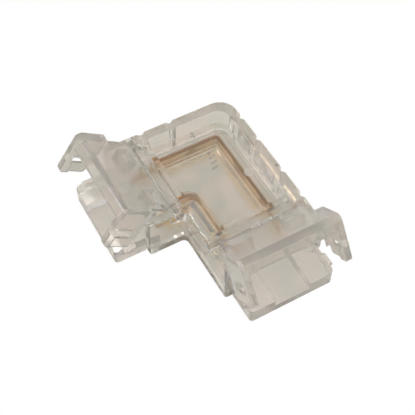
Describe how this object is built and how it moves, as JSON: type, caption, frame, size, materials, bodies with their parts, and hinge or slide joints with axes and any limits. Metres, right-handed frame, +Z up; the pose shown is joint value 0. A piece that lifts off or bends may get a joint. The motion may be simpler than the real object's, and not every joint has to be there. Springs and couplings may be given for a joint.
{
  "type": "led strip connector",
  "caption": "Clear corner connector that joins two flat light strips at a right angle, with a hinged clamping lid over each strip tray and copper blades under a sunk window.",
  "frame": {"origin": "on the underside, where the centre lines of the two arms cross", "axes": "+Z up out of the window; the short arm runs along -X and the long arm along -Y"},
  "size_m": [0.0284, 0.034, 0.0127],
  "materials": {
    "clear_base": "clear, lightly frosted by moulding",
    "clear_cover": "clear, glossy",
    "clear_lid": "clear, glossy",
    "copper": "bright stamped copper alloy"
  },
  "bodies": {
    "housing": {"base": "clear_base", "top_cover": "clear_cover", "outer_conductor": "copper", "inner_conductor": "copper"},
    "short_lid": {"short_arm_lid": "clear_lid"},
    "long_lid": {"long_arm_lid": "clear_lid"}
  },
  "joints": [
    {"name": "short_lid_hinge", "type": "hinge", "parent": "housing", "child": "short_lid", "pos_m": [-0.00875, 0, 0.0063], "axis": [0, 1, 0], "range_deg": [-36, 53]},
    {"name": "long_lid_hinge", "type": "hinge", "parent": "housing", "child": "long_lid", "pos_m": [0, -0.01435, 0.0063], "axis": [-1, 0, 0], "range_deg": [-36, 53]}
  ]
}
